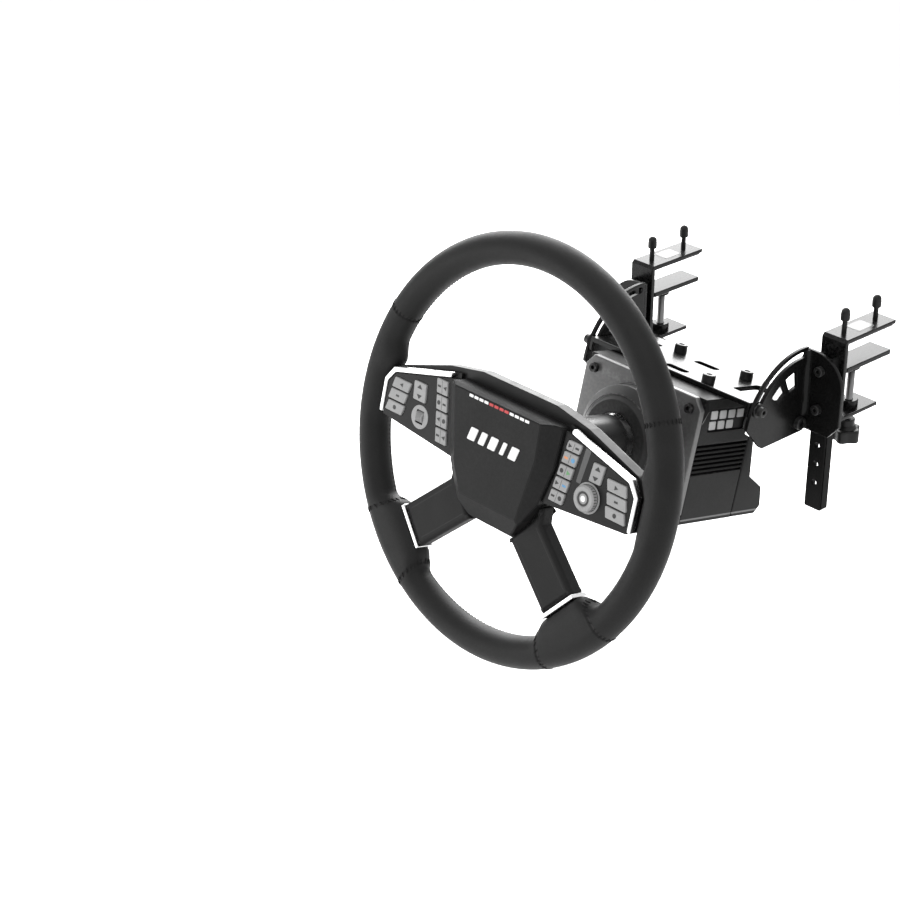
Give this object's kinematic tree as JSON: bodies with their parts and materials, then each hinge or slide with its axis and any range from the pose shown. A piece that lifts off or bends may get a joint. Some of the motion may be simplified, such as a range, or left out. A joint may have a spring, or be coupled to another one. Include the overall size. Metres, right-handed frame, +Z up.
{
  "type": "racing wheel",
  "caption": "Truck-style racing wheel for a desk: steering wheel with button panels on a direct-drive base, in a tilting cradle with desk clamps.",
  "frame": {"origin": "middle of the desk's front top edge, between the two clamps: the spines' back faces are at y = 0 and the jaw pads' undersides at z = 0", "axes": "+Z up, +Y away from the driver into the desk, +X the driver's right"},
  "size_m": [0.4, 0.4371, 0.389],
  "materials": {
    "rim_leather": "matt smooth leather",
    "bare_steel": "satin",
    "black_screws": "black oxide",
    "pad_plastic": "fine grained matt",
    "shell_plastic": "satin",
    "panel_plastic": "semi-gloss",
    "satin_chrome": "satin",
    "circuit_board": "lacquered",
    "grey_keys": "satin",
    "dark_keys": "satin",
    "roller_knob": "satin",
    "machined_metal": "black anodised, turned",
    "anodised_black": "black anodised",
    "bearing_steel": "ground",
    "magnets": "nickel plated",
    "copper_windings": "enamelled copper",
    "anodised_grey": "dark anodised",
    "button_plastic": "gloss",
    "black_coat": "semi-gloss powder coat",
    "zinc_screw": "zinc plated",
    "knob_plastic": "satin",
    "rubber_pads": "matt"
  },
  "bodies": {
    "desk_mount": {"left_clamp_frame": "black_coat", "right_clamp_frame": "black_coat", "legs": "black_coat", "jaw_pads": "rubber_pads", "jaw_bolts": "knob_plastic", "left_arc_bracket": "black_coat", "right_arc_bracket": "black_coat", "bracket_bolts": "black_screws", "pivot_bolts": "black_screws"},
    "wheelbase": {"base_shell": "anodised_grey", "front_plate": "anodised_grey", "rear_cover": "anodised_grey", "base_screws": "black_screws", "stator": "copper_windings", "shaft_bearings": "bearing_steel", "driver_board": "circuit_board", "tilt_cradle": "black_coat", "cradle_bolts": "black_screws", "lock_bolts": "black_screws"},
    "steering_wheel": {"motor_shaft": "machined_metal", "rotor": "magnets", "qr_adaptor": "machined_metal", "wheel_frame": "bare_steel", "wheel_screws": "black_screws", "rim_core": "bare_steel", "rim_leather": "rim_leather", "hub_pad": "pad_plastic", "hub_back_shell": "shell_plastic", "left_panel": "panel_plastic", "right_panel": "panel_plastic", "spoke_covers": "shell_plastic", "bright_trims": "satin_chrome", "button_boards": "circuit_board"},
    "qr_collar": {"qr_collar": "anodised_black"},
    "power_button": {"power_button": "button_plastic"},
    "left_press": {"left_pressure_plate": "black_coat"},
    "right_press": {"right_pressure_plate": "black_coat"},
    "left_screw": {"left_clamp_screw": "zinc_screw", "left_clamp_knob": "knob_plastic"},
    "right_screw": {"right_clamp_screw": "zinc_screw", "right_clamp_knob": "knob_plastic"},
    "left_outer_key_1": {"left_outer_key_1": "grey_keys"},
    "left_outer_key_2": {"left_outer_key_2": "grey_keys"},
    "left_outer_key_3": {"left_outer_key_3": "grey_keys"},
    "right_outer_key_1": {"right_outer_key_1": "grey_keys"},
    "right_outer_key_2": {"right_outer_key_2": "grey_keys"},
    "right_outer_key_3": {"right_outer_key_3": "grey_keys"},
    "left_strip_key_1": {"left_strip_key_1": "grey_keys"},
    "left_strip_key_2": {"left_strip_key_2": "grey_keys"},
    "left_strip_key_3": {"left_strip_key_3": "grey_keys"},
    "left_strip_key_4": {"left_strip_key_4": "grey_keys"},
    "right_strip_key_1": {"right_strip_key_1": "grey_keys"},
    "right_strip_key_2": {"right_strip_key_2": "grey_keys"},
    "right_strip_key_3": {"right_strip_key_3": "grey_keys"},
    "right_strip_key_4": {"right_strip_key_4": "grey_keys"},
    "right_strip_key_5": {"right_strip_key_5": "grey_keys"},
    "left_arrow_rocker": {"left_arrow_rocker": "dark_keys"},
    "right_arrow_rocker": {"right_arrow_rocker": "dark_keys"},
    "left_roller": {"left_roller": "roller_knob"},
    "right_knob": {"right_knob": "roller_knob"}
  },
  "joints": [
    {"name": "tilt", "type": "hinge", "parent": "desk_mount", "child": "wheelbase", "pos_m": [0, -0.0285, -0.082], "axis": [-1, 0, 0], "range_deg": [0, 60]},
    {"name": "steering", "type": "hinge", "parent": "wheelbase", "child": "steering_wheel", "pos_m": [0, -0.306, -0.059], "axis": [0, 0.9703, -0.2419], "continuous": true},
    {"name": "qr_collar_pull", "type": "slide", "parent": "steering_wheel", "child": "qr_collar", "axis": [0, -0.9703, 0.2419], "range_m": [0, 0.006], "stiffness_N_per_m": 800, "springref_m": -0.002},
    {"name": "power_press", "type": "slide", "parent": "wheelbase", "child": "power_button", "axis": [0, -0.9703, 0.2419], "range_m": [0, 0.0015], "stiffness_N_per_m": 500, "springref_m": -0.001},
    {"name": "left_clamp_open", "type": "slide", "parent": "desk_mount", "child": "left_press", "axis": [0, 0, -1], "range_m": [-0.008, 0.03]},
    {"name": "left_screw_turn", "type": "hinge", "parent": "left_press", "child": "left_screw", "pos_m": [-0.124, 0.027, -0.1], "axis": [0, 0, 1], "range_deg": [-1445, 5405]},
    {"name": "right_clamp_open", "type": "slide", "parent": "desk_mount", "child": "right_press", "axis": [0, 0, -1], "range_m": [-0.008, 0.03]},
    {"name": "right_screw_turn", "type": "hinge", "parent": "right_press", "child": "right_screw", "pos_m": [0.124, 0.027, -0.1], "axis": [0, 0, 1], "range_deg": [-1445, 5405]},
    {"name": "left_outer_key_1_press", "type": "slide", "parent": "steering_wheel", "child": "left_outer_key_1", "axis": [0, 0.9703, -0.2419], "range_m": [0, 0.001], "stiffness_N_per_m": 350, "springref_m": -0.001},
    {"name": "left_outer_key_2_press", "type": "slide", "parent": "steering_wheel", "child": "left_outer_key_2", "axis": [0, 0.9703, -0.2419], "range_m": [0, 0.001], "stiffness_N_per_m": 350, "springref_m": -0.001},
    {"name": "left_outer_key_3_press", "type": "slide", "parent": "steering_wheel", "child": "left_outer_key_3", "axis": [0, 0.9703, -0.2419], "range_m": [0, 0.001], "stiffness_N_per_m": 350, "springref_m": -0.001},
    {"name": "right_outer_key_1_press", "type": "slide", "parent": "steering_wheel", "child": "right_outer_key_1", "axis": [0, 0.9703, -0.2419], "range_m": [0, 0.001], "stiffness_N_per_m": 350, "springref_m": -0.001},
    {"name": "right_outer_key_2_press", "type": "slide", "parent": "steering_wheel", "child": "right_outer_key_2", "axis": [0, 0.9703, -0.2419], "range_m": [0, 0.001], "stiffness_N_per_m": 350, "springref_m": -0.001},
    {"name": "right_outer_key_3_press", "type": "slide", "parent": "steering_wheel", "child": "right_outer_key_3", "axis": [0, 0.9703, -0.2419], "range_m": [0, 0.001], "stiffness_N_per_m": 350, "springref_m": -0.001},
    {"name": "right_strip_key_1_press", "type": "slide", "parent": "steering_wheel", "child": "right_strip_key_1", "axis": [0, 0.9703, -0.2419], "range_m": [0, 0.001], "stiffness_N_per_m": 350, "springref_m": -0.001},
    {"name": "right_strip_key_2_press", "type": "slide", "parent": "steering_wheel", "child": "right_strip_key_2", "axis": [0, 0.9703, -0.2419], "range_m": [0, 0.001], "stiffness_N_per_m": 350, "springref_m": -0.001},
    {"name": "right_strip_key_3_press", "type": "slide", "parent": "steering_wheel", "child": "right_strip_key_3", "axis": [0, 0.9703, -0.2419], "range_m": [0, 0.001], "stiffness_N_per_m": 350, "springref_m": -0.001},
    {"name": "right_strip_key_4_press", "type": "slide", "parent": "steering_wheel", "child": "right_strip_key_4", "axis": [0, 0.9703, -0.2419], "range_m": [0, 0.001], "stiffness_N_per_m": 350, "springref_m": -0.001},
    {"name": "right_strip_key_5_press", "type": "slide", "parent": "steering_wheel", "child": "right_strip_key_5", "axis": [0, 0.9703, -0.2419], "range_m": [0, 0.001], "stiffness_N_per_m": 350, "springref_m": -0.001},
    {"name": "left_arrow_rocker_rock", "type": "hinge", "parent": "steering_wheel", "child": "left_arrow_rocker", "pos_m": [-0.1155, -0.31014, -0.03839], "axis": [1, 0, 0], "range_deg": [-3.5, 3.5], "stiffness_Nm_per_rad": 0.08},
    {"name": "right_arrow_rocker_rock", "type": "hinge", "parent": "steering_wheel", "child": "right_arrow_rocker", "pos_m": [0.116, -0.30953, -0.03596], "axis": [1, 0, 0], "range_deg": [-3.5, 3.5], "stiffness_Nm_per_rad": 0.08},
    {"name": "left_strip_key_1_rock", "type": "hinge", "parent": "steering_wheel", "child": "left_strip_key_1", "pos_m": [-0.08744, -0.30676, -0.02486], "axis": [1, 0, 0], "range_deg": [-3.5, 3.5], "stiffness_Nm_per_rad": 0.08},
    {"name": "left_strip_key_2_rock", "type": "hinge", "parent": "steering_wheel", "child": "left_strip_key_2", "pos_m": [-0.08431, -0.31042, -0.03954], "axis": [1, 0, 0], "range_deg": [-3.5, 3.5], "stiffness_Nm_per_rad": 0.08},
    {"name": "left_strip_key_3_rock", "type": "hinge", "parent": "steering_wheel", "child": "left_strip_key_3", "pos_m": [-0.08119, -0.31408, -0.05421], "axis": [1, 0, 0], "range_deg": [-3.5, 3.5], "stiffness_Nm_per_rad": 0.08},
    {"name": "left_strip_key_4_rock", "type": "hinge", "parent": "steering_wheel", "child": "left_strip_key_4", "pos_m": [-0.07806, -0.31774, -0.06889], "axis": [1, 0, 0], "range_deg": [-3.5, 3.5], "stiffness_Nm_per_rad": 0.08},
    {"name": "left_roller_spin", "type": "hinge", "parent": "steering_wheel", "child": "left_roller", "pos_m": [-0.1105, -0.31563, -0.06124], "axis": [1, 0, 0], "continuous": true},
    {"name": "right_knob_turn", "type": "hinge", "parent": "steering_wheel", "child": "right_knob", "pos_m": [0.1105, -0.31837, -0.05901], "axis": [0, 0.9703, -0.2419], "continuous": true}
  ],
  "couplings": [
    {"joint": "left_screw_turn", "follows": "left_clamp_open", "rad_per_m": 3141.6},
    {"joint": "right_screw_turn", "follows": "right_clamp_open", "rad_per_m": 3141.6}
  ]
}
